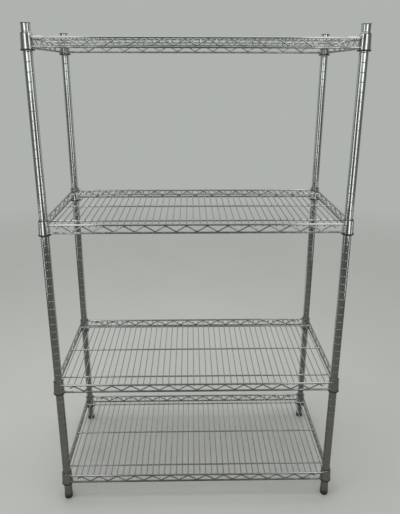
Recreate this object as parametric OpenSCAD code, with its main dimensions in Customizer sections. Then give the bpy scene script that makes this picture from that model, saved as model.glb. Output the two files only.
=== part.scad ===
// Free-standing wire shelving unit: four grooved posts and four shelves that sit
// on tapered two-piece sleeves. The origin is on the floor under the middle of the
// unit, +X is to the right, +Y to the rear, +Z up. All sizes are in millimetres.

/* [Frame] */
// Distance between the post axes, left to right
post_span_x = 872; // [600:4:1200]
// Distance between the post axes, front to rear
post_span_y = 416; // [300:4:600]
// Height of the posts' upper ends above the floor
post_top = 1500; // [1300:25:1800]

/* [Posts] */
// Outer diameter of a post
post_d = 25; // [22:0.5:30]
// Wall thickness of a post
post_wall = 1.2; // [1:0.1:2]
// Distance between two grooves
groove_pitch = 25; // [20:1:30]
// Width of a groove at the post's surface
groove_w = 2.4; // [1.6:0.2:4]
// Depth of a groove
groove_depth = 0.6; // [0.3:0.1:0.7]
// Distance from the post's lower end to its first groove
groove_first = 15.5; // [10:0.5:24]

/* [Shelf levels] */
// Groove that holds the bottom shelf, counted from 0 at the post's lower end
bottom_groove = 2; // [2:1:6]
// Groove that holds the lower shelf
lower_groove = 16; // [10:1:22]
// Groove that holds the upper shelf
upper_groove = 37; // [28:1:42]
// Grooves that stay free above the top shelf's own groove
top_spare = 1; // [1:1:3]

/* [Sleeves and collars] */
// Height of a sleeve
sleeve_h = 45; // [40:1:50]
// Height of the lip at the sleeve's foot
lip_h = 4; // [3:0.5:6]
// How far the lip stands out past the collar
lip_over = 1; // [0.5:0.25:2]
// Wall of the sleeve at its upper end
sleeve_wall_top = 1.3; // [1:0.1:2]
// Wall of the sleeve just above its lip
sleeve_wall_foot = 2.8; // [2.2:0.1:4]
// Angle of the open seam between the two halves, on each side
seam_angle = 3; // [1:0.5:6]
// Clearance between post and sleeve
sleeve_gap = 0.1; // [0.05:0.05:0.2]
// Clearance between sleeve and collar
collar_gap = 0.25; // [0.2:0.05:0.35]
// Wall of a collar
collar_wall = 1.6; // [1.2:0.1:2.4]
// How far the sleeve stands out above the collar
sleeve_above = 1.5; // [0.5:0.5:3]

/* [Shelf wires] */
// Diameter of the rails round the shelf
rail_d = 6; // [5:0.5:8]
// Distance between the axes of the upper and lower rail
rail_rise = 23.5; // [20:0.5:26]
// Height of the lower rail's axis above the sleeve's foot
rail_foot = 9.5; // [8.5:0.5:11]
// Distance of the rails' plane from the post axes, outwards
rail_out = 10; // [7:0.5:11]
// Diameter of the zigzag wire
zigzag_d = 4; // [3:0.5:5]
// Length of one zigzag wave
zigzag_wave = 59.5; // [50:0.5:70]
// How deep the zigzag wire's corners sink into the rails
zigzag_sink = 1.5; // [1:0.1:2]
// Straight end of the zigzag wire past its last corner
zigzag_end = 14; // [8:1:18]
// Diameter of the deck wires
deck_d = 3.2; // [2.8:0.2:4]
// Distance between two deck wires
deck_pitch = 19.8; // [18:0.1:30]
// Bend radius of a deck wire, at its axis
deck_bend = 4; // [3:0.5:6]
// How far a deck wire's end hangs below the upper rail's underside
deck_tail = 5; // [2:0.5:8]
// Least distance from the outermost deck wire to the post axis
deck_side = 10; // [9:1:30]
// Diameter of the three runners under the deck wires
runner_d = 5; // [4:0.5:6]
// Distance of the outer runners from the rails' plane
runner_inset = 50; // [40:1:70]
// How deep a deck wire is welded into a runner
weld_depth = 0.4; // [0.2:0.1:0.6]
// Distance left between pieces that are welded on
weld_gap = 0.05; // [0.02:0.01:0.1]

/* [Caps] */
// Thickness of a cap's disc
cap_h = 2; // [1.5:0.5:3]
// How far a cap's disc stands out past the post
cap_over = 1; // [0.5:0.25:1]
// Length of a cap's plug inside the post
cap_plug = 12; // [8:1:20]
// Wall of a cap's plug
cap_wall = 1.8; // [1.2:0.2:3]

/* [Feet] */
// Height of the insert's flange under the post
flange_h = 2; // [1.5:0.5:3]
// Length of the insert inside the post
insert_h = 24; // [20:1:30]
// Diameter of a foot's stud
stem_d = 10; // [8:1:12]
// Clearance between stud and insert
stem_gap = 0.08; // [0.05:0.01:0.1]
// Length of the stud above the flange's underside
stem_up = 22; // [20:1:26]
// Diameter of a foot's pad
pad_d = 25; // [24:1:32]
// Height of a foot's pad
pad_h = 9; // [6:0.5:10]
// Thickness of the pad under the stud
pad_floor = 3; // [2:0.5:4]
// Width across the flats of the stud's hexagon
hex_af = 19; // [15:1:20]
// Height of the stud's hexagon
hex_h = 4.7; // [4:0.1:8]
// Distance between hexagon and flange when the foot is screwed in
hex_gap = 0.3; // [0.2:0.1:0.5]
// Clearance of a piece that is pressed into its hole
plug_gap = 0.05; // [0.03:0.01:0.1]

/* [Hidden] */
CORNERS = [["front_left", -1, -1], ["front_right", 1, -1], ["rear_left", -1, 1], ["rear_right", 1, 1]];
post_foot = pad_h + hex_h + hex_gap + flange_h;
post_r = post_d / 2;
post_bore_r = post_r - post_wall;
groove_count = floor((post_top - post_foot - 2 * groove_first) / groove_pitch) + 1;
top_groove = groove_count - 1 - top_spare;
groove_flat = groove_w / 3;

sleeve_in_r = post_r + sleeve_gap;
sleeve_top_r = sleeve_in_r + sleeve_wall_top;
sleeve_foot_r = sleeve_in_r + sleeve_wall_foot;
sleeve_slope = (sleeve_foot_r - sleeve_top_r) / (sleeve_h - lip_h);
collar_foot = lip_h + collar_gap;
collar_top = sleeve_h - sleeve_above;
lip_r = collar_in_r(collar_foot) + collar_wall + lip_over;

rail_low = rail_foot;
rail_high = rail_foot + rail_rise;
front_y = -(post_span_y / 2 + rail_out);
side_x = post_span_x / 2 + rail_out;
deck_z = rail_high + rail_d / 2 - deck_d / 2;
runner_z = deck_z - deck_d / 2 - runner_d / 2 + weld_depth;
tail_y = -front_y - rail_d / 2 - deck_d / 2 - weld_gap;
tail_h = deck_z - deck_bend - (rail_high - rail_d / 2 - deck_tail);
deck_half = floor((post_span_x / 2 - deck_side) / deck_pitch + 0.5);
collar_reach = collar_in_r(collar_foot) + collar_wall + deck_d / 2 + weld_gap;

$fn = 48;

// Height of a groove's middle above the floor
function groove_z(k) = post_foot + groove_first + k * groove_pitch;
// Height of a sleeve's foot when its bead sits in groove k
function level_z(k) = groove_z(k) - sleeve_h / 2;
// Radius of the tapered sleeve at height z above its foot
function sleeve_r(z) = sleeve_foot_r - (z - lip_h) * sleeve_slope;
// Radius of a collar's bore at height z above the sleeve's foot
function collar_in_r(z) = sleeve_r(z) + collar_gap;

module at_corner(corner) {
    translate([corner[1] * post_span_x / 2, corner[2] * post_span_y / 2, 0]) children();
}

// Thin-walled tube with rolled grooves
module post() {
    grooves = [for (k = [0:groove_count - 1], step = [0:3])
        [step == 0 || step == 3 ? post_r : post_r - groove_depth,
         groove_z(k) + [-groove_w, -groove_flat, groove_flat, groove_w][step] / 2]];
    color("silver") rotate_extrude($fn = 64) polygon(concat(
        [[post_bore_r, post_foot], [post_r, post_foot]], grooves,
        [[post_r, post_top], [post_bore_r, post_top]]));
}

// Disc with a hollow plug that closes a post's upper end
module cap() {
    plug_r = post_bore_r - plug_gap;
    cap_r = post_r + cap_over;
    edge = cap_h / 3;
    color("dimgray") rotate_extrude() polygon([
        [0, post_top], [plug_r - cap_wall, post_top], [plug_r - cap_wall, post_top - cap_plug],
        [plug_r, post_top - cap_plug], [plug_r, post_top], [cap_r, post_top],
        [cap_r, post_top + cap_h - edge], [cap_r - edge, post_top + cap_h], [0, post_top + cap_h]]);
}

// Threaded bush that the foot screws into
module insert() {
    flange_z = post_foot - flange_h;
    bore_r = stem_d / 2 + stem_gap;
    color("dimgray") rotate_extrude() polygon([
        [bore_r, flange_z], [post_r + cap_over, flange_z], [post_r + cap_over, post_foot],
        [post_bore_r - plug_gap, post_foot], [post_bore_r - plug_gap, post_foot + insert_h],
        [bore_r, post_foot + insert_h]]);
}

// Round pad of a levelling foot, with a blind hole for the stud
module foot() {
    pad_edge = pad_h / 6;
    hole_r = stem_d / 2 + plug_gap;
    color("dimgray") rotate_extrude() polygon([
        [0, 0], [pad_d / 2 - pad_edge, 0], [pad_d / 2, pad_edge], [pad_d / 2, pad_h - 2 * pad_edge],
        [hex_af / 2, pad_h], [hole_r, pad_h], [hole_r, pad_floor], [0, pad_floor]]);
}

// Stud of a levelling foot, with the hexagon that turns it
module stud() {
    stem_foot = pad_floor + plug_gap;
    color("gray") {
        translate([0, 0, pad_h]) cylinder(h = hex_h, r = hex_af / sqrt(3), $fn = 6);
        translate([0, 0, stem_foot])
            cylinder(h = pad_h + hex_h + hex_gap + stem_up - stem_foot, d = stem_d);
    }
}

// Two half shells round the post, thicker at the foot, with a bead in the groove
module sleeve(k) {
    mid = sleeve_h / 2;
    bead = groove_depth;
    shell = [
        [sleeve_in_r, 0], [lip_r, 0], [lip_r, lip_h], [sleeve_foot_r, lip_h],
        [sleeve_top_r, sleeve_h], [sleeve_in_r, sleeve_h],
        [sleeve_in_r, mid + groove_w / 2], [sleeve_in_r - bead, mid + groove_flat / 2],
        [sleeve_in_r - bead, mid - groove_flat / 2], [sleeve_in_r, mid - groove_w / 2]];
    color("dimgray") translate([0, 0, level_z(k)]) for (turn = [0, 180])
        rotate([0, 0, turn + seam_angle]) rotate_extrude(angle = 180 - 2 * seam_angle) polygon(shell);
}

// Solid cone with a collar's outer shape
module collar_outside() {
    translate([0, 0, collar_foot]) cylinder(h = collar_top - collar_foot,
        r1 = collar_in_r(collar_foot) + collar_wall, r2 = collar_in_r(collar_top) + collar_wall);
}

// The four tapered collars of one shelf
module collars(k) {
    color("silver") translate([0, 0, level_z(k)]) for (corner = CORNERS) at_corner(corner)
        rotate_extrude() polygon([
            [collar_in_r(collar_foot), collar_foot], [collar_in_r(collar_foot) + collar_wall, collar_foot],
            [collar_in_r(collar_top) + collar_wall, collar_top], [collar_in_r(collar_top), collar_top]]);
}

// Two rails and the zigzag wire welded between them, along X, centred on the origin
module truss(span) {
    waves = floor((span - 2 * lip_r) / zigzag_wave);
    swing = rail_rise - rail_d - zigzag_d + 2 * zigzag_sink;
    slant = atan2(swing, zigzag_wave / 2);
    leg = norm([swing, zigzag_wave / 2]);
    past = zigzag_d / 4;
    corner_z = (rail_low + rail_high + swing) / 2;
    for (z = [rail_low, rail_high])
        translate([-span / 2, 0, z]) rotate([0, 90, 0]) cylinder(h = span, d = rail_d);
    for (i = [0:waves - 1], side = [-1, 1]) {
        last = side < 0 ? i == 0 : i == waves - 1;
        translate([(i - (waves - 1) / 2) * zigzag_wave, 0, corner_z]) rotate([0, side * (90 + slant), 0])
            translate([0, 0, -past]) cylinder(h = past + (last ? zigzag_end : leg + past), d = zigzag_d);
    }
}

// A front or rear truss, cut to the collars' outside
module long_truss(k, side) {
    color("silver") translate([0, 0, level_z(k)]) difference() {
        translate([0, -side * front_y, 0]) truss(post_span_x);
        for (corner = CORNERS) if (corner[2] == side) at_corner(corner) collar_outside();
    }
}

// A left or right truss, cut to the collars' outside
module side_truss(k, side) {
    color("silver") translate([0, 0, level_z(k)]) difference() {
        translate([side * side_x, 0, 0]) rotate([0, 0, 90]) truss(post_span_y);
        for (corner = CORNERS) if (corner[1] == side) at_corner(corner) collar_outside();
    }
}

// One deck wire along Y, its ends bent down behind the upper rails
module deck_wire() {
    straight = tail_y - deck_bend;
    translate([0, straight, deck_z]) rotate([90, 0, 0]) cylinder(h = 2 * straight, d = deck_d);
    for (turn = [0, 180]) rotate([0, 0, turn]) {
        translate([0, straight, deck_z - deck_bend]) rotate([90, 0, 90])
            rotate_extrude(angle = 90) translate([deck_bend, 0]) circle(d = deck_d);
        translate([0, tail_y, deck_z - deck_bend - tail_h]) cylinder(h = tail_h, d = deck_d);
    }
}

// A straight deck wire at x that ends flat where its middle meets the collars
module short_wire(x) {
    beside = post_span_x / 2 - abs(x);
    collar_r = collar_in_r(deck_z) + collar_wall;
    half = post_span_y / 2 - sqrt(max(0, collar_r * collar_r - beside * beside));
    translate([x, half, deck_z]) rotate([90, 0, 0]) cylinder(h = 2 * half, d = deck_d);
}

// Deck wires side by side, welded on three runners
module deck(k) {
    runner_half = side_x - rail_d / 2 - weld_gap;
    places = [for (i = [0:deck_half - 1], side = [-1, 1]) side * (i + 0.5) * deck_pitch];
    color("silver") translate([0, 0, level_z(k)]) {
        for (x = places) if (post_span_x / 2 - abs(x) >= collar_reach) translate([x, 0, 0]) deck_wire();
        difference() {
            for (x = places) if (post_span_x / 2 - abs(x) < collar_reach) short_wire(x);
            for (corner = CORNERS) at_corner(corner) collar_outside();
        }
        for (side = [-1:1]) translate([-runner_half, side * (-front_y - runner_inset), runner_z])
            rotate([0, 90, 0]) cylinder(h = 2 * runner_half, d = runner_d);
    }
}

at_corner(CORNERS[0]) post();  // post_front_left
at_corner(CORNERS[1]) post();  // post_front_right
at_corner(CORNERS[2]) post();  // post_rear_left
at_corner(CORNERS[3]) post();  // post_rear_right
at_corner(CORNERS[0]) cap();  // cap_front_left
at_corner(CORNERS[1]) cap();  // cap_front_right
at_corner(CORNERS[2]) cap();  // cap_rear_left
at_corner(CORNERS[3]) cap();  // cap_rear_right
at_corner(CORNERS[0]) insert();  // insert_front_left
at_corner(CORNERS[1]) insert();  // insert_front_right
at_corner(CORNERS[2]) insert();  // insert_rear_left
at_corner(CORNERS[3]) insert();  // insert_rear_right
at_corner(CORNERS[0]) foot();  // foot_front_left
at_corner(CORNERS[1]) foot();  // foot_front_right
at_corner(CORNERS[2]) foot();  // foot_rear_left
at_corner(CORNERS[3]) foot();  // foot_rear_right
at_corner(CORNERS[0]) stud();  // stud_front_left
at_corner(CORNERS[1]) stud();  // stud_front_right
at_corner(CORNERS[2]) stud();  // stud_rear_left
at_corner(CORNERS[3]) stud();  // stud_rear_right
at_corner(CORNERS[0]) sleeve(bottom_groove);  // bottom_sleeve_front_left
at_corner(CORNERS[1]) sleeve(bottom_groove);  // bottom_sleeve_front_right
at_corner(CORNERS[2]) sleeve(bottom_groove);  // bottom_sleeve_rear_left
at_corner(CORNERS[3]) sleeve(bottom_groove);  // bottom_sleeve_rear_right
at_corner(CORNERS[0]) sleeve(lower_groove);  // lower_sleeve_front_left
at_corner(CORNERS[1]) sleeve(lower_groove);  // lower_sleeve_front_right
at_corner(CORNERS[2]) sleeve(lower_groove);  // lower_sleeve_rear_left
at_corner(CORNERS[3]) sleeve(lower_groove);  // lower_sleeve_rear_right
at_corner(CORNERS[0]) sleeve(upper_groove);  // upper_sleeve_front_left
at_corner(CORNERS[1]) sleeve(upper_groove);  // upper_sleeve_front_right
at_corner(CORNERS[2]) sleeve(upper_groove);  // upper_sleeve_rear_left
at_corner(CORNERS[3]) sleeve(upper_groove);  // upper_sleeve_rear_right
at_corner(CORNERS[0]) sleeve(top_groove);  // top_sleeve_front_left
at_corner(CORNERS[1]) sleeve(top_groove);  // top_sleeve_front_right
at_corner(CORNERS[2]) sleeve(top_groove);  // top_sleeve_rear_left
at_corner(CORNERS[3]) sleeve(top_groove);  // top_sleeve_rear_right
collars(bottom_groove);  // bottom_collars
long_truss(bottom_groove, -1);  // bottom_truss_front
long_truss(bottom_groove, 1);  // bottom_truss_rear
side_truss(bottom_groove, -1);  // bottom_truss_left
side_truss(bottom_groove, 1);  // bottom_truss_right
deck(bottom_groove);  // bottom_deck
collars(lower_groove);  // lower_collars
long_truss(lower_groove, -1);  // lower_truss_front
long_truss(lower_groove, 1);  // lower_truss_rear
side_truss(lower_groove, -1);  // lower_truss_left
side_truss(lower_groove, 1);  // lower_truss_right
deck(lower_groove);  // lower_deck
collars(upper_groove);  // upper_collars
long_truss(upper_groove, -1);  // upper_truss_front
long_truss(upper_groove, 1);  // upper_truss_rear
side_truss(upper_groove, -1);  // upper_truss_left
side_truss(upper_groove, 1);  // upper_truss_right
deck(upper_groove);  // upper_deck
collars(top_groove);  // top_collars
long_truss(top_groove, -1);  // top_truss_front
long_truss(top_groove, 1);  // top_truss_rear
side_truss(top_groove, -1);  // top_truss_left
side_truss(top_groove, 1);  // top_truss_right
deck(top_groove);  // top_deck
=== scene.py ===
"""Dresses a four-tier chrome wire shelving unit in rounded, bent and welded detail.

All lengths are in metres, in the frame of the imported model: the origin is on the
floor under the middle of the unit, +X is to the right, +Y to the rear and +Z up.
"""

import math

import bmesh
import bpy
from bpy.props import FloatProperty, FloatVectorProperty, IntProperty, PointerProperty
from mathutils import Matrix, Vector


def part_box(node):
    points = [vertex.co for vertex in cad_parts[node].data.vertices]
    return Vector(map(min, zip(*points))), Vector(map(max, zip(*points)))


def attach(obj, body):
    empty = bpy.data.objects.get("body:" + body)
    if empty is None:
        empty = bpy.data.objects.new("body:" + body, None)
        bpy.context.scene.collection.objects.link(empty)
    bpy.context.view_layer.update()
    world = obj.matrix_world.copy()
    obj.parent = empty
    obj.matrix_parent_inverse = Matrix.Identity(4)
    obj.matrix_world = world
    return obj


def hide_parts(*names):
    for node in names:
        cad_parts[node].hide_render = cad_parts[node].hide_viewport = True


bl_info = {
    "name": "Wire shelving unit",
    "version": (1, 0, 0),
    "blender": (4, 5, 0),
    "location": "View3D > Sidebar > Shelving",
    "description": "Models the posts, shelves, sleeves and feet of a wire shelving unit",
    "category": "Add Mesh",
}

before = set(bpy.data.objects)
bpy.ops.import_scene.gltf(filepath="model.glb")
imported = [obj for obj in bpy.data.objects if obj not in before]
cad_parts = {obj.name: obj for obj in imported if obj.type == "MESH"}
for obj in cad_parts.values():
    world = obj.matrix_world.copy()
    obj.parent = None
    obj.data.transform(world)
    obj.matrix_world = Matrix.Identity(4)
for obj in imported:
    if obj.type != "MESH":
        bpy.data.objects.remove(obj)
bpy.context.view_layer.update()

MM = 0.001
CORNERS = ("front_left", "front_right", "rear_left", "rear_right")
LEVELS = ("bottom", "lower", "upper", "top")
SHARP = math.radians(34)
LONG_STRETCH, EASE = 2.5 * MM, 0.5 * MM

# Tolerances for picking and merging points, and the gap between neighbouring pieces
LOOSE, TIGHT, TINY = 1e-4, 1e-5, 1e-6
CLEARANCE = 0.05 * MM

# Faces round each kind of piece, and steps in each bend or turn
ROUND_FACES, COLLAR_FACES, STEM_FACES = 48, 64, 32
RAIL_FACES, RUNNER_FACES, ZIGZAG_FACES, SHORT_FACES, DECK_FACES = 20, 16, 12, 10, 8
ZIGZAG_STEPS, DECK_STEPS, THREAD_STEPS = 6, 3, 24

# Masks of the wear, and kinds of socket
WEAR_MASKS = ("Edge", "Hollow", "Dust")
NUMBER, COLOUR, VECTOR = "NodeSocketFloat", "NodeSocketColor", "NodeSocketVector"


def a_length(name, description, default):
    """Returns a length's property from its default in millimetres."""
    return FloatProperty(name=name, description=description, default=default * MM, unit="LENGTH")


def a_colour(name, description, default):
    """Returns a colour's property."""
    return FloatVectorProperty(
        name=name, description=description, default=default, subtype="COLOR", min=0, max=1)


class PostSizes(bpy.types.PropertyGroup):
    """Sizes of the posts, caps and feet."""

    radius: a_length("Radius", "Outer radius of a post", 12.5)
    wall: a_length("Wall", "Wall thickness of a post", 1.2)
    pitch: a_length("Groove pitch", "Distance between two rolled grooves", 25)
    first: a_length("First groove", "Height of the first groove above the post's lower end", 15.5)
    depth: a_length("Groove depth", "Depth of a rolled groove", 0.5)
    width: a_length("Groove width", "Width of a groove with its rolled shoulders", 2.4)
    sides: IntProperty(name="Sides", description="Number of faces round a post", default=48, min=24)
    thread: a_length("Thread pitch", "Rise of the stud's thread in one turn", 1.5)


class ShelfSizes(bpy.types.PropertyGroup):
    """Sizes of the wires and collars of a shelf, heights from the sleeve's foot."""

    rail_radius: a_length("Rail radius", "Radius of the rails", 3.0)
    rail_low: a_length("Lower rail", "Height of the lower rail's axis", 9.5)
    rail_high: a_length("Upper rail", "Height of the upper rail's axis", 33.0)
    rail_out: a_length("Rail offset", "Distance of the rails from the post axes, outwards", 10.0)
    zigzag_radius: a_length("Zigzag radius", "Radius of the zigzag wire", 2.0)
    wave: a_length("Zigzag wave", "Length of one zigzag wave", 59.5)
    bend: a_length("Zigzag bend", "Bend radius of the zigzag wire at its axis", 8.0)
    free_end: a_length("Zigzag end", "Straight end of the zigzag wire past its last bend", 10.0)
    weld: a_length("Weld depth", "How deep one wire is welded into another", 0.4)
    deck_radius: a_length("Deck wire radius", "Radius of the deck wires", 1.6)
    deck_pitch: a_length("Deck wire pitch", "Distance between two deck wires", 19.8)
    deck_count: IntProperty(
        name="Bent deck wires", description="Number of deck wires with bent ends", default=42)
    deck_bend: a_length("Deck wire bend", "Bend radius of a deck wire's end at its axis", 4.0)
    deck_tail: a_length("Deck wire tail", "How far a deck wire hangs below the upper rail's axis", 8.0)
    runner_radius: a_length("Runner radius", "Radius of the runners under the deck wires", 2.5)
    runner_place: a_length("Outer runner", "Distance of the outer runners from the middle", 168.0)
    collar_foot: a_length("Collar foot", "Height of a collar's lower rim", 4.25)
    collar_top: a_length("Collar top", "Height of a collar's upper rim", 43.5)
    collar_wall: a_length("Collar wall", "Wall of a collar", 1.6)
    sleeve_height: a_length("Sleeve height", "Height of a sleeve", 45.0)


class Finishes(bpy.types.PropertyGroup):
    """Colours of the metal, the plastic and the floor."""

    chrome: a_colour("Chrome", "Colour of the chrome plating", (0.60, 0.63, 0.62))
    wire: a_colour("Wire", "Colour of the plated wires", (0.50, 0.52, 0.51))
    plastic: a_colour("Plastic", "Colour of sleeves and feet", (0.018, 0.018, 0.019))
    cap: a_colour("Cap", "Colour of the caps", (0.03, 0.031, 0.032))
    steel: a_colour("Stud", "Colour of the blackened studs", (0.09, 0.088, 0.085))
    floor: a_colour("Floor", "Colour of the floor", (0.56, 0.56, 0.54))
    surroundings: a_colour("Surroundings", "Colour of the space behind the floor", (0.43, 0.45, 0.425))


def post_axis(corner):
    """Returns x and y of a post's axis."""
    low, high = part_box("post_" + corner)
    return (low.x + high.x) / 2, (low.y + high.y) / 2


def level_foot(level):
    """Returns the height of the sleeves' feet on a level."""
    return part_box(level + "_sleeve_front_left")[0].z


def at_post(corner, height=0):
    """Returns the move from the origin to a height on a post's axis."""
    return Matrix.Translation((*post_axis(corner), height))


def at_level(level):
    """Returns the move from the floor to a level."""
    return Matrix.Translation((0, 0, level_foot(level)))


SPAN_X = post_axis("front_right")[0] - post_axis("front_left")[0]
SPAN_Y = post_axis("rear_left")[1] - post_axis("front_left")[1]


# Modelling helpers

def mode(name):
    """Goes to edit mode or to object mode."""
    bpy.ops.object.mode_set(mode=name)


def add_ring(name, radius, centre, count, normal=(0, 0, 1)):
    """Adds an open ring of edges as a new object and goes to edit mode."""
    bpy.ops.object.select_all(action="DESELECT")
    turn = Vector(normal).to_track_quat("Z", "Y").to_euler()
    bpy.ops.mesh.primitive_circle_add(
        vertices=count, radius=radius, fill_type="NOTHING", location=centre, rotation=turn)
    ring = bpy.context.active_object
    ring.name = ring.data.name = name
    bpy.ops.object.transform_apply(location=True, rotation=True, scale=True)
    mode("EDIT")
    bpy.ops.mesh.select_mode(type="VERT")
    bpy.ops.mesh.select_all(action="SELECT")
    return ring


def pick(test):
    """Selects the vertices of the edited mesh whose place passes the test."""
    mesh = bpy.context.edit_object.data
    edited = bmesh.from_edit_mesh(mesh)
    for vertex in edited.verts:
        vertex.select = bool(test(vertex.co))
    edited.select_flush_mode()
    bmesh.update_edit_mesh(mesh)


def run(step):
    """Extrudes the selected ring along a step."""
    bpy.ops.mesh.extrude_region_move(TRANSFORM_OT_translate={"value": tuple(step)})


def bend(centre, axis, angle, steps):
    """Spins the selected ring round an axis, which the operator counts the other way round."""
    bpy.ops.mesh.spin(steps=steps, angle=-angle, center=tuple(centre), axis=tuple(axis))


def eased(profile):
    """Adds a point near each end of a long stretch, so that its shading stays straight."""
    points = [profile[0]]
    for start, end in zip(profile, profile[1:]):
        length = math.dist(start, end)
        if length > LONG_STRETCH:
            share = EASE / length
            points += [tuple(a + (b - a) * part for a, b in zip(start, end)) for part in (share, 1 - share)]
        points.append(end)
    return points


def turn_profile(profile):
    """Extrudes the selected ring through the (radius, height) points after the first."""
    profile = eased(profile)
    for (radius, height), (next_radius, next_height) in zip(profile, profile[1:]):
        run((0, 0, next_height - height))
        share = next_radius / radius
        bpy.ops.transform.resize(value=(share, share, 1), center_override=(0, 0, next_height))


def close_ends():
    """Fills every open end of the edited mesh and turns its faces outwards."""
    bpy.ops.mesh.select_all(action="SELECT")
    bpy.ops.mesh.fill_holes(sides=0)
    tidy_faces()


def tidy_faces():
    """Merges doubles and turns the faces of the edited mesh outwards."""
    bpy.ops.mesh.select_all(action="SELECT")
    bpy.ops.mesh.remove_doubles(threshold=TINY)
    bpy.ops.mesh.normals_make_consistent(inside=False)


def turned(name, profile, count, hollow):
    """Turns a closed solid from (radius, height) points, or a hollow one with a bore."""
    first_radius, first_height = profile[0]
    solid = add_ring(name, first_radius, (0, 0, first_height), count)
    turn_profile(profile)
    if hollow:
        bpy.ops.mesh.select_all(action="DESELECT")
        bpy.ops.mesh.select_non_manifold()
        bpy.ops.mesh.bridge_edge_loops()
        tidy_faces()
    else:
        close_ends()
    mode("OBJECT")
    return solid


def use(obj):
    """Makes an object the only selected and active one."""
    bpy.ops.object.select_all(action="DESELECT")
    obj.select_set(True)
    bpy.context.view_layer.objects.active = obj


def modify(obj, kind, **settings):
    """Applies a modifier with these settings to a mesh."""
    use(obj)
    modifier = obj.modifiers.new(kind, kind)
    for label, value in settings.items():
        setattr(modifier, label, value)
    bpy.ops.object.modifier_apply(modifier=modifier.name)


def repeat(obj, count, step, merge=False):
    """Repeats a mesh along a step."""
    modify(obj, "ARRAY", count=count, use_relative_offset=False, use_constant_offset=True,
           constant_offset_displace=step, use_merge_vertices=merge, merge_threshold=TIGHT)


def round_edges(obj, width):
    """Rounds the sharp edges of a mesh in two steps."""
    modify(obj, "BEVEL", width=width, segments=2, limit_method="ANGLE", angle_limit=SHARP)


def smooth(obj):
    """Shades a mesh smooth apart from its sharp edges."""
    use(obj)
    bpy.ops.object.shade_smooth_by_angle(angle=SHARP)


def join(name, parts):
    """Joins meshes into the first one and names it."""
    use(parts[0])
    for part in parts:
        part.select_set(True)
    bpy.ops.object.join()
    parts[0].name = parts[0].data.name = name
    return parts[0]


def new_object(name, data):
    """Adds an object to the scene."""
    made = bpy.data.objects.new(name, data)
    bpy.context.scene.collection.objects.link(made)
    return made


def copy_of(pattern, name, matrix):
    """Copies a pattern with its own mesh and puts it in place."""
    mesh = pattern.data.copy()
    mesh.name = name
    mesh.transform(matrix)
    return new_object(name, mesh)


def dispose(*patterns):
    """Removes the patterns that copies were made from."""
    for pattern in patterns:
        bpy.data.meshes.remove(pattern.data)


def finish_piece(obj, node, body, material):
    """Gives a piece its finish and its body, and hides the CAD node that it stands for."""
    obj.data.materials.clear()
    obj.data.materials.append(material)
    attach(obj, body)
    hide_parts(node)


# Materials

def node_group(name, inputs, outputs, build):
    """Makes a shader node group once, with named inputs and outputs."""
    group = bpy.data.node_groups.get(name)
    if group:
        return group
    group = bpy.data.node_groups.new(name, "ShaderNodeTree")
    for label, kind, value in inputs:
        socket = group.interface.new_socket(name=label, in_out="INPUT", socket_type=kind)
        if value is not None:
            socket.default_value = value
    for label, kind in outputs:
        group.interface.new_socket(name=label, in_out="OUTPUT", socket_type=kind)
    build(group, group.nodes.new("NodeGroupInput"), group.nodes.new("NodeGroupOutput"))
    return group


def set_inputs(node, values):
    """Sets inputs of a node by their names."""
    for label, value in values.items():
        node.inputs[label].default_value = value


def noise(tree, vector, scale, detail, roughness=0.5):
    """Adds a noise texture and returns its value."""
    texture = tree.nodes.new("ShaderNodeTexNoise")
    set_inputs(texture, {"Scale": scale, "Detail": detail, "Roughness": roughness})
    tree.links.new(vector, texture.inputs["Vector"])
    return texture.outputs["Fac"]


def remap(tree, value, low, high, to_low, to_high):
    """Adds a clamped map range and returns its result."""
    ramp = tree.nodes.new("ShaderNodeMapRange")
    for label, number in (("From Min", low), ("From Max", high), ("To Min", to_low), ("To Max", to_high)):
        if isinstance(number, (int, float)):
            ramp.inputs[label].default_value = number
        else:
            tree.links.new(number, ramp.inputs[label])
    tree.links.new(value, ramp.inputs["Value"])
    return ramp.outputs["Result"]


def mixed(tree, factor, first, second):
    """Adds a colour mix and returns its result."""
    mix = tree.nodes.new("ShaderNodeMix")
    mix.data_type = "RGBA"
    tree.links.new(factor, mix.inputs["Factor"])
    for socket, colour in ((mix.inputs["A"], first), (mix.inputs["B"], second)):
        if isinstance(colour, tuple):
            socket.default_value = colour
        else:
            tree.links.new(colour, socket)
    return mix.outputs["Result"]


def math_node(tree, operation, first, second):
    """Adds a math node and returns its value."""
    made = tree.nodes.new("ShaderNodeMath")
    made.operation = operation
    for socket, value in zip(made.inputs, (first, second)):
        if isinstance(value, (int, float)):
            socket.default_value = value
        else:
            tree.links.new(value, socket)
    return made.outputs["Value"]


def times(tree, first, second):
    """Multiplies two values."""
    return math_node(tree, "MULTIPLY", first, second)


def build_wear(group, given, made):
    """Masks rubbed edges, hollows broken into patches, and dust on faces that look up."""
    links = group.links
    place = given.outputs["Vector"]
    surface = group.nodes.new("ShaderNodeNewGeometry")
    bent = surface.outputs["Pointiness"]
    crest = math_node(group, "ADD", given.outputs["Edge from"], 0.03)
    edge = remap(group, bent, given.outputs["Edge from"], crest, 0.0, 1.0)
    rubbed = remap(group, noise(group, place, 110.0, 5.0, 0.6), 0.38, 0.62, 0.15, 1.0)
    links.new(times(group, edge, rubbed), made.inputs["Edge"])
    hollow = remap(group, bent, 0.503, 0.485, 0.0, 1.0)
    hollow_patches = remap(group, noise(group, place, 65.0, 4.0), 0.35, 0.6, 0.25, 1.0)
    links.new(times(group, hollow, hollow_patches), made.inputs["Hollow"])
    up = group.nodes.new("ShaderNodeSeparateXYZ")
    links.new(surface.outputs["Normal"], up.inputs["Vector"])
    facing = remap(group, up.outputs["Z"], 0.2, 0.95, 0.0, 1.0)
    settled = remap(group, noise(group, place, 60.0, 4.0), 0.3, 0.7, 0.35, 1.0)
    dust = times(group, facing, given.outputs["Dust"])
    links.new(times(group, dust, settled), made.inputs["Dust"])


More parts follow.
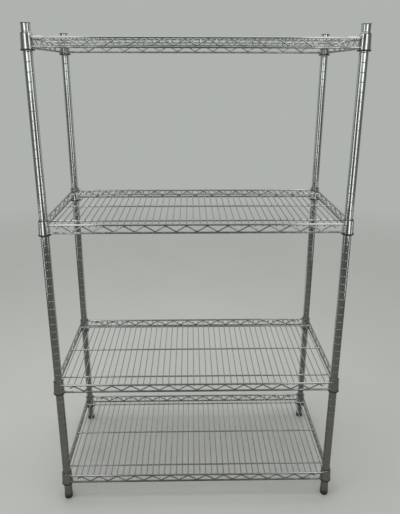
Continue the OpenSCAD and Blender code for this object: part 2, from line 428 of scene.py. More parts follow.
def wear_group():
    """Returns the node group of the wear masks."""
    return node_group(
        "Wear",
        [("Vector", VECTOR, None), ("Edge from", NUMBER, 0.52), ("Dust", NUMBER, 0.1)],
        [(label, NUMBER) for label in WEAR_MASKS],
        build_wear)


WEAR_INPUTS = [(label, NUMBER, 0.0) for label in WEAR_MASKS]


def build_plating(group, given, made):
    """Chrome plating: cloudy tint, pores, fine polishing marks, dull edges, darker hollows and dust."""
    links = group.links
    place = given.outputs["Vector"]
    edge, hollow, dust = (given.outputs[label] for label in WEAR_MASKS)
    rubbed, hollow_tone, dusty = (0.46, 0.44, 0.40, 1.0), (0.10, 0.09, 0.075, 1.0), (0.42, 0.41, 0.38, 1.0)
    cloud = remap(group, noise(group, place, 9.0, 4.0), 0.35, 0.65, 0.0, 1.0)
    pores = remap(group, noise(group, place, 900.0, 2.0, 0.6), 0.66, 0.74, 0.0, 1.0)
    tint = mixed(group, cloud, given.outputs["Colour"], given.outputs["Cloud colour"])
    tint = mixed(group, times(group, pores, 0.35), tint, given.outputs["Pore colour"])
    tint = mixed(group, times(group, edge, 0.45), tint, rubbed)
    # Concave places are mixed towards a near-black brown, well below the chrome's own colour.
    tint = mixed(group, times(group, hollow, 0.6), tint, hollow_tone)
    links.new(mixed(group, dust, tint, dusty), made.inputs["Colour"])
    rough = remap(group, cloud, 0.0, 1.0, given.outputs["Roughness low"], given.outputs["Roughness high"])
    for mask, share in ((pores, 0.12), (edge, 0.12), (hollow, 0.25), (dust, 0.3)):
        rough = math_node(group, "ADD", rough, times(group, mask, share))
    links.new(rough, made.inputs["Roughness"])
    metallic = math_node(group, "SUBTRACT", 1.0, times(group, dust, 0.5))
    links.new(metallic, made.inputs["Metallic"])
    wave = times(group, noise(group, place, 140.0, 2.0), given.outputs["Waviness"])
    marks = times(group, noise(group, place, 2600.0, 2.0), 0.004)
    links.new(math_node(group, "ADD", wave, marks), made.inputs["Height"])


def plating_group():
    """Returns the shared node group of the chrome plating."""
    return node_group(
        "Plating",
        [("Vector", VECTOR, None), ("Colour", COLOUR, None), ("Cloud colour", COLOUR, None),
         ("Pore colour", COLOUR, None), ("Roughness low", NUMBER, 0.08),
         ("Roughness high", NUMBER, 0.16), ("Waviness", NUMBER, 0.4)] + WEAR_INPUTS,
        [("Colour", COLOUR), ("Roughness", NUMBER), ("Metallic", NUMBER), ("Height", NUMBER)],
        build_plating)


def build_moulding(group, given, made):
    """Moulded plastic: fine grain, mottled tone, scuffs, pale rubbed edges and dust."""
    links = group.links
    place = given.outputs["Vector"]
    edge, hollow, dust = (given.outputs[label] for label in WEAR_MASKS)
    scuffed, rubbed = (0.16, 0.16, 0.155, 1.0), (0.12, 0.12, 0.115, 1.0)
    hollow_tone, dusty = (0.20, 0.19, 0.17, 1.0), (0.28, 0.27, 0.25, 1.0)
    mottle = remap(group, noise(group, place, 45.0, 4.0), 0.3, 0.7, 0.0, 1.0)
    scuffs = remap(group, noise(group, place, 320.0, 6.0, 0.7), 0.6, 0.72, 0.0, 1.0)
    scuffs = times(group, scuffs, given.outputs["Scuffs"])
    tone = mixed(group, mottle, given.outputs["Colour"], given.outputs["Mottle colour"])
    tone = mixed(group, scuffs, tone, scuffed)
    tone = mixed(group, times(group, edge, 0.35), tone, rubbed)
    # Concave places are mixed towards a dark grey, lighter than the black plastic.
    tone = mixed(group, times(group, hollow, 0.3), tone, hollow_tone)
    links.new(mixed(group, dust, tone, dusty), made.inputs["Colour"])
    rough = remap(group, mottle, 0.0, 1.0, given.outputs["Roughness low"], given.outputs["Roughness high"])
    for mask, share in ((edge, -0.08), (hollow, 0.2), (dust, 0.3)):
        rough = math_node(group, "ADD", rough, times(group, mask, share))
    links.new(rough, made.inputs["Roughness"])
    links.new(noise(group, place, 1400.0, 3.0), made.inputs["Height"])


def moulding_group():
    """Returns the shared node group of the moulded plastic."""
    return node_group(
        "Moulding",
        [("Vector", VECTOR, None), ("Colour", COLOUR, None), ("Mottle colour", COLOUR, None),
         ("Scuffs", NUMBER, 0.2), ("Roughness low", NUMBER, 0.35),
         ("Roughness high", NUMBER, 0.5)] + WEAR_INPUTS,
        [("Colour", COLOUR), ("Roughness", NUMBER), ("Height", NUMBER)],
        build_moulding)


def new_material(name):
    """Makes a material and returns it with its shader."""
    material = bpy.data.materials.new(name)
    material.use_nodes = True
    return material, material.node_tree.nodes["Principled BSDF"]


def shaded(name, group, values, wear, strength, distance, specular):
    """Makes a material from node groups, with a bump's strength and distance."""
    material = bpy.data.materials.get(name)
    if material:
        return material
    material, shader = new_material(name)
    tree = material.node_tree
    shader.inputs["Specular IOR Level"].default_value = specular
    place = tree.nodes.new("ShaderNodeTexCoord")
    effect = tree.nodes.new("ShaderNodeGroup")
    effect.node_tree = group
    worn = tree.nodes.new("ShaderNodeGroup")
    worn.node_tree = wear_group()
    for made, settings in ((effect, values), (worn, wear)):
        tree.links.new(place.outputs["Object"], made.inputs["Vector"])
        set_inputs(made, settings)
    for label in WEAR_MASKS:
        tree.links.new(worn.outputs[label], effect.inputs[label])
    tree.links.new(effect.outputs["Colour"], shader.inputs["Base Color"])
    tree.links.new(effect.outputs["Roughness"], shader.inputs["Roughness"])
    if "Metallic" in effect.outputs:
        tree.links.new(effect.outputs["Metallic"], shader.inputs["Metallic"])
    relief = tree.nodes.new("ShaderNodeBump")
    set_inputs(relief, {"Strength": strength, "Distance": distance})
    tree.links.new(effect.outputs["Height"], relief.inputs["Height"])
    tree.links.new(relief.outputs["Normal"], shader.inputs["Normal"])
    return material


def rgba(colour, scale=1.0):
    """Returns a colour with alpha, made lighter or darker."""
    return tuple(channel * scale for channel in colour) + (1.0,)


def chrome(name, colour, low, high, dust, waviness, edge):
    """Makes a chrome finish, its roughness from low to high, rubbed on edges sharper than edge."""
    return shaded(
        name, plating_group(),
        {"Colour": rgba(colour), "Cloud colour": rgba(colour, 0.9), "Pore colour": rgba(colour, 0.35),
         "Roughness low": low, "Roughness high": high, "Waviness": waviness},
        {"Edge from": edge, "Dust": dust}, strength=0.5, distance=0.0004, specular=0.5)


def plastic(name, colour, low, high, scuffs, dust):
    """Makes a moulded plastic finish, its roughness from low to high."""
    return shaded(
        name, moulding_group(),
        {"Colour": rgba(colour), "Mottle colour": rgba(colour, 1.5), "Scuffs": scuffs,
         "Roughness low": low, "Roughness high": high},
        {"Edge from": 0.53, "Dust": dust}, strength=0.35, distance=0.0003, specular=0.45)


def finishes():
    """Returns every finish of the unit by its use."""
    colours = bpy.context.scene.shelving_finishes
    return {
        "post": chrome("Post chrome", colours.chrome, 0.08, 0.14, 0.05, 0.05, 0.52),
        "collar": chrome("Collar chrome", colours.chrome, 0.09, 0.16, 0.12, 0.08, 0.52),
        "rail": chrome("Rail chrome", colours.wire, 0.1, 0.18, 0.12, 0.08, 0.55),
        "deck": chrome("Deck wire chrome", colours.wire, 0.12, 0.22, 0.15, 0.08, 0.575),
        "stud": chrome("Blackened stud", colours.steel, 0.3, 0.42, 0.1, 0.1, 0.54),
        "sleeve": plastic("Sleeve plastic", colours.plastic, 0.34, 0.46, 0.15, 0.12),
        "cap": plastic("Cap plastic", colours.cap, 0.36, 0.5, 0.25, 0.1),
        "insert": plastic("Insert plastic", colours.plastic, 0.36, 0.48, 0.1, 0.1),
        "foot": plastic("Foot plastic", colours.plastic, 0.4, 0.55, 0.35, 0.2),
    }


# Pieces

def plug_radius():
    """Returns the radius of a plug that fits in a post."""
    posts = bpy.context.scene.shelving_posts
    return posts.radius - posts.wall - CLEARANCE


def at_corners(pattern, label, node, finish):
    """Puts a copy of a pattern that stays in place at each of the four posts."""
    for corner in CORNERS:
        made = copy_of(pattern, label + corner, at_post(corner))
        finish_piece(made, node + corner, "root", finishes()[finish])
    dispose(pattern)


def finish_on_shelf(obj, level, piece, finish):
    """Gives a piece of a shelf its finish and the shelf's body."""
    finish_piece(obj, level + "_" + piece, level + "_shelf", finishes()[finish])


class SHELVING_OT_posts(bpy.types.Operator):
    """Rolls the four grooved tube posts"""

    bl_idname = "shelving.posts"
    bl_label = "Posts"

    def execute(self, context):
        sizes = context.scene.shelving_posts
        foot, top = (corner.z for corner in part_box("post_front_left"))
        half, radius = sizes.width / 2, sizes.radius
        start = foot + sizes.first - sizes.pitch / 2
        groove = start + sizes.pitch / 2
        flank = ((1.0, 0.0), (0.72, 0.12), (0.42, 0.68), (0.18, 0.96))
        outline = [(-along, deep) for along, deep in flank] + list(reversed(flank))
        stretch = [(radius, start)]
        stretch += [(radius - sizes.depth * deep, groove + half * along) for along, deep in outline]
        stretch += [(radius, start + sizes.pitch)]
        post = add_ring("post_pattern", radius, (0, 0, start), sizes.sides)
        turn_profile(stretch)
        mode("OBJECT")
        count = int((top - foot - 2 * sizes.first) / sizes.pitch) + 1
        repeat(post, count, (0, 0, sizes.pitch), merge=True)
        end = start + count * sizes.pitch
        rim, bore = sizes.wall / 4, radius - sizes.wall
        mode("EDIT")
        pick(lambda place: place.z > end - LOOSE)
        turn_profile([(radius, end), (radius, top - rim), (radius - rim, top), (bore + rim, top),
                      (bore, top - rim), (bore, foot + rim)])
        pick(lambda place: abs(place.z - start) < TIGHT and place.xy.length > radius - LOOSE)
        turn_profile([(radius, start), (radius, foot + rim), (radius - rim, foot), (bore + rim, foot),
                      (bore, foot + rim)])
        tidy_faces()
        mode("OBJECT")
        smooth(post)
        at_corners(post, "tube_", "post_", "post")
        return {"FINISHED"}


class SHELVING_OT_caps(bpy.types.Operator):
    """Moulds the four caps with their hollow plugs"""

    bl_idname = "shelving.caps"
    bl_label = "Caps"

    def execute(self, context):
        low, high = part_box("cap_front_left")
        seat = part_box("post_front_left")[1].z
        radius, top = (high.x - low.x) / 2, high.z
        plug, wall, roof = plug_radius(), 1.8 * MM, 0.5 * MM
        ease, chamfer = 0.3 * MM, 0.4 * MM
        crown = ((0, 1.0), (0.25, 0.55), (0.8, 0.25), (1.8, 0.1))
        profile = [
            (plug - wall, seat - roof), (plug - wall, low.z), (plug - chamfer, low.z),
            (plug, low.z + 2 * chamfer), (plug, seat), (radius - ease, seat), (radius, seat + ease)]
        profile += [(radius - inwards * MM, top - down * MM) for inwards, down in crown]
        profile += [(radius * 0.6, top - 0.02 * MM), (radius * 0.2, top)]
        cap = turned("cap_pattern", profile, ROUND_FACES, hollow=False)
        smooth(cap)
        at_corners(cap, "cap_disc_", "cap_", "cap")
        return {"FINISHED"}


class SHELVING_OT_inserts(bpy.types.Operator):
    """Moulds the four threaded inserts in the posts' lower ends"""

    bl_idname = "shelving.inserts"
    bl_label = "Inserts"

    def execute(self, context):
        low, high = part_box("insert_front_left")
        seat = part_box("post_front_left")[0].z
        radius, plug, bore = (high.x - low.x) / 2, plug_radius(), 5.08 * MM
        ease, chamfer, lead = 0.4 * MM, 0.5 * MM, 0.6 * MM
        profile = [
            (bore + chamfer, low.z), (radius - chamfer, low.z), (radius, low.z + chamfer),
            (radius, seat - ease), (radius - ease, seat), (plug, seat), (plug, high.z - 2 * lead),
            (plug - lead, high.z), (bore, high.z), (bore, low.z + chamfer)]
        insert = turned("insert_pattern", profile, ROUND_FACES, hollow=True)
        smooth(insert)
        at_corners(insert, "threaded_insert_", "insert_", "insert")
        return {"FINISHED"}


class SHELVING_OT_feet(bpy.types.Operator):
    """Moulds the four foot pads and cuts their threaded studs"""

    bl_idname = "shelving.feet"
    bl_label = "Feet"

    def execute(self, context):
        sizes = context.scene.shelving_posts
        low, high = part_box("foot_front_left")
        radius, top = (high.x - low.x) / 2, high.z
        hole, seat, ease = 5.05 * MM, 3.0 * MM, 0.4 * MM
        neck, shoulder = 9.3 * MM, (9.9 * MM, top - 0.3 * MM)
        skirt = ((4.0, 0.0), (1.5, 0.0), (0.5, 0.4), (0, 1.5), (0, 5.6), (0.4, 6.4))
        profile = [(radius - inwards * MM, up * MM) for inwards, up in skirt]
        profile += [shoulder, (neck, top), (hole + ease, top), (hole, top - ease), (hole, seat)]
        pad = turned("pad_pattern", profile, ROUND_FACES, hollow=False)
        smooth(pad)
        stud = self.stud(sizes, top)
        for corner in CORNERS:
            body = corner + "_foot"
            made = copy_of(pad, "foot_pad_" + corner, at_post(corner))
            finish_piece(made, "foot_" + corner, body, finishes()["foot"])
            made = copy_of(stud, "foot_stud_" + corner, at_post(corner))
            finish_piece(made, "stud_" + corner, body, finishes()["stud"])
        dispose(pad, stud)
        return {"FINISHED"}

    def stud(self, sizes, seat):
        """Makes the hexagon and its threaded stem."""
        low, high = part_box("stud_front_left")
        flats, hex_top, stem, lead = 19.0 * MM, seat + 4.7 * MM, 5.0 * MM, 0.6 * MM
        corner_radius = flats / math.sqrt(3)
        hexagon = add_ring("hexagon", corner_radius, (0, 0, seat), 6)
        turn_profile([(corner_radius, seat), (corner_radius, hex_top)])
        close_ends()
        mode("OBJECT")
        round_edges(hexagon, 0.6 * MM)
        core = stem - 0.85 * MM
        profile = [(stem - lead, low.z), (stem, low.z + lead), (stem, hex_top + 0.2 * MM),
                   (core, hex_top + 0.6 * MM), (core, high.z - 0.9 * MM), (stem - 1.4 * MM, high.z)]
        shank = turned("shank", profile, STEM_FACES, hollow=False)
        thread = self.thread(sizes.thread, stem, hex_top + 0.3 * MM, high.z - lead)
        stud = join("stud_pattern", [hexagon, shank, thread])
        smooth(stud)
        return stud

    def thread(self, pitch, stem, foot, top):
        """Winds a three-sided ridge round the stem."""
        bpy.ops.object.select_all(action="DESELECT")
        bpy.ops.mesh.primitive_circle_add(vertices=3, radius=stem, fill_type="NOTHING")
        thread = bpy.context.active_object
        mode("EDIT")
        edited = bmesh.from_edit_mesh(thread.data)
        edited.verts.ensure_lookup_table()
        root, crest = stem - 0.95 * MM, stem - 0.02 * MM
        ridge = ((root, 0.0), (crest, 0.44 * pitch), (root, 0.88 * pitch))
        for vertex, (away, height) in zip(edited.verts, ridge):
            vertex.co = (away, 0, foot + height)
        bmesh.update_edit_mesh(thread.data)
        mode("OBJECT")
        modify(thread, "SCREW", axis="Z", screw_offset=pitch, steps=THREAD_STEPS, render_steps=THREAD_STEPS,
               iterations=int((top - foot - pitch) / pitch), use_smooth_shade=True)
        mode("EDIT")
        close_ends()
        mode("OBJECT")
        return thread


class SHELVING_OT_sleeves(bpy.types.Operator):
    """Moulds the sixteen two-piece tapered sleeves"""

    bl_idname = "shelving.sleeves"
    bl_label = "Sleeves"

    def execute(self, context):
        bore = context.scene.shelving_posts.radius + 0.1 * MM
        height = context.scene.shelving_shelves.sleeve_height
        low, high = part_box("bottom_sleeve_front_left")
        lip, middle = (high.y - low.y) / 2, height / 2
        ease, half_seam = 0.4 * MM, 0.66 * MM
        rim = ((0.7, 0), (0.2, 0.25), (0, 0.8), (0, 3.2), (0.25, 3.8), (0.8, 4.0))
        bead = ((0, 1.2), (0.45, 0.6), (0.6, 0), (0.45, -0.6), (0, -1.2))
        profile = [(bore, ease), (bore + ease, 0)]
        profile += [(lip - inwards * MM, up * MM) for inwards, up in rim]
        profile += [(bore + 2.8 * MM, 4.0 * MM), (bore + 1.35 * MM, height - 0.5 * MM),
                    (bore + 0.95 * MM, height), (bore + 0.3 * MM, height), (bore, height - ease)]
        profile += [(bore - inwards * MM, middle + up * MM) for inwards, up in bead]
        half = turned("sleeve_half", profile, ROUND_FACES, hollow=True)
        mode("EDIT")
        bpy.ops.mesh.select_all(action="SELECT")
        bpy.ops.mesh.bisect(plane_co=(0, half_seam, 0), plane_no=(0, 1, 0), use_fill=True, clear_inner=True)
        mode("OBJECT")
        smooth(half)
        other = copy_of(half, "sleeve_other", Matrix.Rotation(math.pi, 4, "Z"))
        sleeve = join("sleeve_pattern", [half, other])
        for level in LEVELS:
            for corner in CORNERS:
                made = copy_of(sleeve, level + "_shells_" + corner, at_post(corner, level_foot(level)))
                node = level + "_sleeve_" + corner
                finish_piece(made, node, "root", finishes()["sleeve"])
        dispose(sleeve)
        return {"FINISHED"}


def collar_radius(shelf, height):
    """Returns a collar's outer radius at a height above the sleeve's foot."""
    foot_radius, top_radius = 17.24 * MM, 15.80 * MM
    share = (height - shelf.collar_foot) / (shelf.collar_top - shelf.collar_foot)
    return foot_radius + (top_radius - foot_radius) * share


class SHELVING_OT_collars(bpy.types.Operator):
    """Draws the tapered collars of the four shelves, with rolled rims"""

    bl_idname = "shelving.collars"
    bl_label = "Collars"

    def execute(self, context):
        shelf = context.scene.shelving_shelves
        foot, top, wall = shelf.collar_foot, shelf.collar_top, shelf.collar_wall
        lower, upper = collar_radius(shelf, foot), collar_radius(shelf, top)
        rim = wall * 0.45
        roll = ((1.0, 1.0), (0.86, 0.3), (0.5, 0.0), (0.14, 0.3), (0.0, 1.0))
        profile = [(lower - wall * inwards, foot + rim * up) for inwards, up in roll]
        profile += [(upper - wall * inwards, top - rim * down) for inwards, down in reversed(roll)]
        collar = turned("collar_pattern", profile, COLLAR_FACES, hollow=True)
        smooth(collar)
        for level in LEVELS:
            parts = [copy_of(collar, "collar", at_post(corner, level_foot(level))) for corner in CORNERS]
            made = join(level + "_corner_collars", parts)
            finish_on_shelf(made, level, "collars", "collar")
        dispose(collar)
        return {"FINISHED"}


class SHELVING_OT_trusses(bpy.types.Operator):
    """Bends and welds the trusses on the four sides of each shelf"""

    bl_idname = "shelving.trusses"
    bl_label = "Trusses"

    def execute(self, context):
        shelf = context.scene.shelving_shelves
        patterns = {"long": self.truss(shelf, SPAN_X), "short": self.truss(shelf, SPAN_Y)}
        out_x, out_y = SPAN_X / 2 + shelf.rail_out, SPAN_Y / 2 + shelf.rail_out
        places = {
            "front": ("long", Matrix.Translation((0, -out_y, 0)) @ Matrix.Rotation(math.pi, 4, "Z")),
            "rear": ("long", Matrix.Translation((0, out_y, 0))),
            "left": ("short", Matrix.Translation((-out_x, 0, 0)) @ Matrix.Rotation(math.pi / 2, 4, "Z")),
            "right": ("short", Matrix.Translation((out_x, 0, 0)) @ Matrix.Rotation(-math.pi / 2, 4, "Z")),
        }
        for level in LEVELS:
            for side, (kind, place) in places.items():
                made = copy_of(patterns[kind], level + "_welded_truss_" + side, at_level(level) @ place)
                finish_on_shelf(made, level, "truss_" + side, "rail")
        dispose(*patterns.values())
        return {"FINISHED"}

    def truss(self, shelf, span):
        """Makes two rails and a zigzag wire along X, with the unit's inside towards -Y."""
        rails = [self.rail(shelf, span, height) for height in (shelf.rail_low, shelf.rail_high)]
        truss = join("truss_pattern", rails + [self.zigzag(shelf, span)])
        smooth(truss)
        return truss

    def rail(self, shelf, span, height):
        """Makes a rail whose ends swell into their welds and follow the collars' walls."""
        radius, sink = shelf.rail_radius, 0.75 * MM
        wall = collar_radius(shelf, height) - sink
        near, far = shelf.rail_out - radius, shelf.rail_out + radius
        reach_near, reach_far = math.sqrt(wall ** 2 - near ** 2), math.sqrt(wall ** 2 - far ** 2)
        swelling = ((6.0, 1.0), (4.2, 1.0), (2.2, 1.06), (0.8, 1.2))
        flare = [(span / 2 - reach_near - before * MM, size) for before, size in swelling]
        flare.append((span / 2 - reach_far, 1.32))
        rail = add_ring("rail", radius, (0, 0, height), RAIL_FACES, normal=(1, 0, 0))
        at, swell = 0.0, 1.0
        for end, size in flare:
            run((end - at, 0, 0))
            bpy.ops.transform.resize(value=(1, size / swell, size / swell), center_override=(end, 0, height))
            at, swell = end, size
        bpy.ops.mesh.select_all(action="SELECT")
        along = Vector((reach_near - reach_far, far - near, 0)).normalized()
        bpy.ops.mesh.bisect(
            plane_co=(span / 2 - reach_near, -radius, height), plane_no=(along.y, -along.x, 0),
            clear_outer=True, use_fill=True)
        mode("OBJECT")
        modify(rail, "MIRROR", use_axis=(True, False, False), use_mirror_merge=True, merge_threshold=TIGHT)
        mode("EDIT")
        tidy_faces()
        mode("OBJECT")
        return rail

    def zigzag(self, shelf, span):
        """Bends one wire into waves that touch both rails."""
        lip = 18.24 * MM
        waves = int((span - 2 * lip) / shelf.wave)
        half, radius = shelf.wave / 2, shelf.bend
        swing = (shelf.rail_high - shelf.rail_low - 2 * shelf.rail_radius
                 - 2 * shelf.zigzag_radius + 2 * shelf.weld)
        over = 2 * radius - swing
        slant = math.asin(2 * radius / math.hypot(half, over)) - math.atan2(over, half)
        leg = (half - 2 * radius * math.sin(slant)) / math.cos(slant)
        middle = (shelf.rail_low + shelf.rail_high) / 2
        first = -(waves - 1) / 2 * shelf.wave
        rise = Vector((math.cos(slant), 0, math.sin(slant)))
        fall = Vector((math.cos(slant), 0, -math.sin(slant)))
        entry = Vector((first - radius * math.sin(slant), 0,
                        middle + swing / 2 - radius + radius * math.cos(slant)))
        start = entry - rise * shelf.free_end
        wire = add_ring("zigzag", shelf.zigzag_radius, start, ZIGZAG_FACES, normal=rise)
        run(rise * shelf.free_end)
        last = 2 * waves - 2
        for count in range(last + 1):
            upper = count % 2 == 0
            centre_z = middle + (swing / 2 - radius) * (1 if upper else -1)
            centre = Vector((first + count * half, 0, centre_z))
            bend(centre, (0, 1, 0), 2 * slant * (1 if upper else -1), ZIGZAG_STEPS)
            if count < last:
                run((fall if upper else rise) * leg)
        run(fall * shelf.free_end)
        close_ends()
        mode("OBJECT")
        return wire


class SHELVING_OT_decks(bpy.types.Operator):
    """Bends the deck wires and lays them on their three runners"""

    bl_idname = "shelving.decks"
    bl_label = "Decks"

    def execute(self, context):
        shelf = context.scene.shelving_shelves
        wire_z = shelf.rail_high + shelf.rail_radius - shelf.deck_radius
        runner_z = wire_z - shelf.deck_radius - shelf.runner_radius + shelf.weld
        first = -(shelf.deck_count - 1) / 2 * shelf.deck_pitch
        wires = self.bent_wire(shelf, first, wire_z)
        repeat(wires, shelf.deck_count, (shelf.deck_pitch, 0, 0))
        outer, sink = -first + shelf.deck_pitch, 0.6 * MM
        beside = SPAN_X / 2 - outer
        half = SPAN_Y / 2 - math.sqrt((collar_radius(shelf, wire_z) - sink) ** 2 - beside ** 2)
        reach = SPAN_X / 2 + shelf.rail_out - shelf.rail_radius - CLEARANCE
        parts = [wires]
        for x in (-outer, outer):
            ends = (x, -half, wire_z), (x, half, wire_z)
            parts.append(self.straight("short_wire", shelf.deck_radius, *ends, SHORT_FACES))
        for y in (-shelf.runner_place, 0, shelf.runner_place):
            ends = (-reach, y, runner_z), (reach, y, runner_z)
            parts.append(self.straight("runner", shelf.runner_radius, *ends, RUNNER_FACES))
        deck = join("deck_pattern", parts)
        smooth(deck)
        for level in LEVELS:
            made = copy_of(deck, level + "_welded_deck", at_level(level))
            finish_on_shelf(made, level, "deck", "deck")
        dispose(deck)
        return {"FINISHED"}

    def bent_wire(self, shelf, x, height):
        """Bends one deck wire whose ends hang behind the upper rails."""
        radius = shelf.deck_bend
        tail_y = SPAN_Y / 2 + shelf.rail_out - shelf.rail_radius - shelf.deck_radius - CLEARANCE
        tail_foot = shelf.rail_high - shelf.deck_tail
        drop = height - radius - tail_foot
        wire = add_ring("deck_wire", shelf.deck_radius, (x, -tail_y, tail_foot), DECK_FACES)
        run((0, 0, drop))
        bend((x, -tail_y + radius, height - radius), (1, 0, 0), -math.pi / 2, DECK_STEPS)
        run((0, 2 * (tail_y - radius), 0))
        bend((x, tail_y - radius, height - radius), (1, 0, 0), -math.pi / 2, DECK_STEPS)
        run((0, 0, -drop))
        close_ends()
        mode("OBJECT")
        return wire

    def straight(self, name, radius, start, end, count):
        """Cuts a straight wire with eased ends."""
        along = Vector(end) - Vector(start)
        step = along.normalized()
        ease = radius * 0.2
        wire = add_ring(name, radius - ease, start, count, normal=step)
        for distance, size in ((ease, radius), (along.length - 2 * ease, radius), (ease, radius - ease)):
            run(step * distance)
            edited = bmesh.from_edit_mesh(wire.data)
            ring = [vertex.co.copy() for vertex in edited.verts if vertex.select]
            here = sum(ring, Vector()) / count
            was = max((place - here).length for place in ring)
            bpy.ops.transform.resize(value=(size / was,) * 3, center_override=tuple(here))
        close_ends()
        mode("OBJECT")
        return wire


# Stage

def area_lamp(name, place, target, size, power):
    """Adds a rectangular soft lamp that points at a target and isn't seen itself."""
    data = bpy.data.lights.new(name, "AREA")
    data.shape = "RECTANGLE"
    data.size, data.size_y = size
    data.energy = power
    lamp = new_object(name, data)
    lamp.location = place
    lamp.rotation_euler = (Vector(target) - Vector(place)).to_track_quat("-Z", "Y").to_euler()
    lamp.visible_camera = False
    return lamp


def level_card(reach, front, back, height):
    """Returns the corners of a level card that reaches as far to the left as to the right."""
    return [(-reach, front, height), (reach, front, height), (reach, back, height), (-reach, back, height)]


def cross_card(reach, y, low, high):
    """Returns the corners of an upright card across the front."""
    return [(-reach, y, low), (reach, y, low), (reach, y, high), (-reach, y, high)]


def beside_card(x, front, back, low, high):
    """Returns the corners of an upright card beside the unit."""
    return [(x, front, low), (x, back, low), (x, back, high), (x, front, high)]


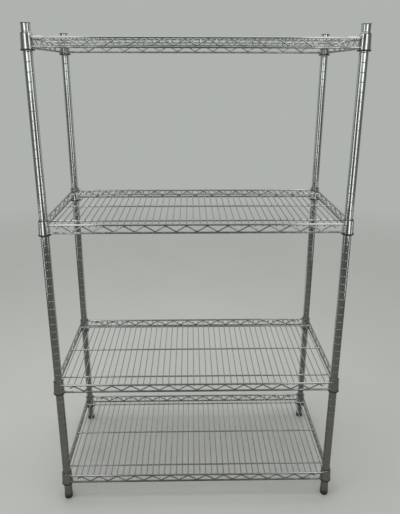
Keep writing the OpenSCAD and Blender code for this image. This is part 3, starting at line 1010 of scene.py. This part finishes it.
class SHELVING_OT_stage(bpy.types.Operator):
    """Lays the floor, hangs the lamps and sets up the camera"""

    bl_idname = "shelving.stage"
    bl_label = "Stage"

    def execute(self, context):
        colours = context.scene.shelving_finishes
        self.floor(colours)
        self.surroundings(context.scene, colours)
        overhead = area_lamp("Overhead softbox", (-0.3, 0.1, 3.2), (0, 0, 0), (2.6, 1.8), 42)
        overhead.visible_glossy = False
        self.glow("top_glow", level_card(0.42, -0.5, 0.22, 1.575), 1.0)
        self.glow("near_glow", cross_card(2.4, -3.05, 1.22, 1.72), 0.6)
        self.glow("left_glow", beside_card(-1.7, -0.80, -0.56, 0.15, 0.7), 1.8)
        self.glow("right_glow", beside_card(1.7, -0.80, -0.56, 0.15, 0.7), 1.8)
        for side, label in ((-1, "Left"), (1, "Right")):
            area_lamp(label + " strip", (side * 0.57, -0.83, 1.22), (0, 0, 1.22), (0.34, 0.98), 1.58)
            area_lamp(label + " panel", (side * 0.85, -0.2, 2.6), (side * 0.85, -0.2, 0), (0.5, 1.4), 5.5)
        lift, edge, room, ceiling = 0.012, -0.29, 3, 2.7
        self.flag("front_card", level_card(room, -room, edge, lift))
        for side in (-1, 1):
            self.flag("floor_card", [(side * 0.93, edge, lift), (side * room, edge, lift),
                                     (side * room, 1.7, lift), (side * 1.9, 1.7, lift)])
            self.flag("side_card", beside_card(side * 1.75, -1.3, 0.1, 0, 2.3))
        self.flag("under_card", [(-0.93, edge, lift), (0.93, edge, lift),
                                 (1.16, 0.19, lift), (-1.16, 0.19, lift)])
        self.flag("ceiling_card", level_card(room, -room, 1, ceiling))
        self.flag("near_card", cross_card(room, -3.1, 0, ceiling))
        self.camera(context.scene)
        context.scene.view_settings.view_transform = "Standard"
        return {"FINISHED"}

    def floor(self, colours):
        """Lays a plain pale floor that fades into the surroundings far from the unit."""
        bpy.ops.object.select_all(action="DESELECT")
        bpy.ops.mesh.primitive_circle_add(vertices=96, radius=40, fill_type="NGON")
        floor = bpy.context.active_object
        floor.name = "floor"
        material, shader = new_material("Floor")
        tree = material.node_tree
        place = tree.nodes.new("ShaderNodeTexCoord")
        tone = remap(tree, noise(tree, place.outputs["Object"], 1.4, 4.0), 0.3, 0.7, 0.0, 1.0)
        mottled = mixed(tree, tone, rgba(colours.floor, 0.97), rgba(colours.floor, 1.02))
        tree.links.new(mottled, shader.inputs["Base Color"])
        set_inputs(shader, {"Roughness": 0.75, "Specular IOR Level": 0.25})
        length = tree.nodes.new("ShaderNodeVectorMath")
        length.operation = "LENGTH"
        tree.links.new(place.outputs["Object"], length.inputs[0])
        fade_from, fade_to = 1.3, 4.0
        far = remap(tree, length.outputs["Value"], fade_from, fade_to, 0.0, 1.0)
        glow = tree.nodes.new("ShaderNodeEmission")
        glow.inputs["Color"].default_value = rgba(colours.surroundings)
        blend = tree.nodes.new("ShaderNodeMixShader")
        tree.links.new(far, blend.inputs["Fac"])
        tree.links.new(shader.outputs["BSDF"], blend.inputs[1])
        tree.links.new(glow.outputs["Emission"], blend.inputs[2])
        tree.links.new(blend.outputs["Shader"], tree.nodes["Material Output"].inputs["Surface"])
        floor.data.materials.append(material)

    def card(self, name, corners, material):
        """Hangs a card that only reflections show, wherever it stands."""
        mesh = bpy.data.meshes.new(name)
        mesh.from_pydata(corners, [], [range(4)])
        mesh.materials.append(material)
        card = new_object(name, mesh)
        card.visible_camera = card.visible_diffuse = card.visible_shadow = False

    def flag(self, name, corners):
        """Hangs a dark card, which gives the chrome something dark to mirror."""
        material = bpy.data.materials.get("Dark card")
        if not material:
            material, shader = new_material("Dark card")
            set_inputs(shader, {"Base Color": (0.17, 0.16, 0.145, 1.0), "Roughness": 0.9})
        self.card(name, corners, material)

    def glow(self, name, corners, strength):
        """Hangs a bright card, which gives the chrome something bright to mirror."""
        material, shader = new_material("Bright card")
        material.cycles.emission_sampling = "NONE"
        set_inputs(shader, {"Base Color": (0, 0, 0, 1), "Emission Color": (0.95, 1.0, 0.99, 1),
                            "Emission Strength": strength})
        self.card(name, corners, material)

    def surroundings(self, scene, colours):
        """Fills the space round the unit with a plain soft light."""
        world = bpy.data.worlds.new("Surroundings")
        scene.world = world
        world.use_nodes = True
        background = world.node_tree.nodes["Background"]
        set_inputs(background, {"Color": rgba(colours.surroundings), "Strength": 1.0})

    def camera(self, scene):
        """Puts the camera where the photograph was taken from."""
        place = (-0.01947, -1.61853, 1.38901)
        yaw, pitch, roll = 0.02007, 0.30383, 0.00171
        ahead = Vector((math.sin(yaw) * math.cos(pitch), math.cos(yaw) * math.cos(pitch), -math.sin(pitch)))
        right = Vector((math.cos(yaw), -math.sin(yaw), 0))
        up = right.cross(ahead)
        side = right * math.cos(roll) + up * math.sin(roll)
        top = up * math.cos(roll) - right * math.sin(roll)
        data = bpy.data.cameras.new("Camera")
        data.sensor_width = 36.0
        data.lens = 36.0
        data.shift_y = -0.0516
        data.clip_start, data.clip_end = 0.05, 100.0
        camera = new_object("Camera", data)
        turn = Matrix((side, top, -ahead)).transposed().to_4x4()
        camera.matrix_world = Matrix.Translation(place) @ turn
        scene.camera = camera


class SHELVING_PT_panel(bpy.types.Panel):
    """Lists the steps of the shelving unit"""

    bl_label = "Shelving"
    bl_idname = "SHELVING_PT_panel"
    bl_space_type = "VIEW_3D"
    bl_region_type = "UI"
    bl_category = "Shelving"

    def draw(self, context):
        for step in STEPS:
            self.layout.operator(step.bl_idname)
        for group in GROUPS:
            settings = getattr(context.scene, group)
            box = self.layout.box()
            for label in settings.__annotations__:
                box.prop(settings, label)


STEPS = (
    SHELVING_OT_posts, SHELVING_OT_caps, SHELVING_OT_inserts, SHELVING_OT_feet, SHELVING_OT_sleeves,
    SHELVING_OT_collars, SHELVING_OT_trusses, SHELVING_OT_decks, SHELVING_OT_stage)
GROUPS = {"shelving_posts": PostSizes, "shelving_shelves": ShelfSizes, "shelving_finishes": Finishes}


def register():
    """Registers the property groups, operators and panel."""
    for made in (*GROUPS.values(), *STEPS, SHELVING_PT_panel):
        bpy.utils.register_class(made)
    for name, group in GROUPS.items():
        setattr(bpy.types.Scene, name, PointerProperty(type=group))


def unregister():
    """Removes them again."""
    for name in GROUPS:
        delattr(bpy.types.Scene, name)
    for made in (SHELVING_PT_panel, *reversed(STEPS), *GROUPS.values()):
        bpy.utils.unregister_class(made)


def main():
    """Builds every piece and the stage."""
    register()
    bpy.ops.shelving.posts()
    bpy.ops.shelving.caps()
    bpy.ops.shelving.inserts()
    bpy.ops.shelving.feet()
    bpy.ops.shelving.sleeves()
    bpy.ops.shelving.collars()
    bpy.ops.shelving.trusses()
    bpy.ops.shelving.decks()
    bpy.ops.shelving.stage()


if __name__ == "__main__":
    main()
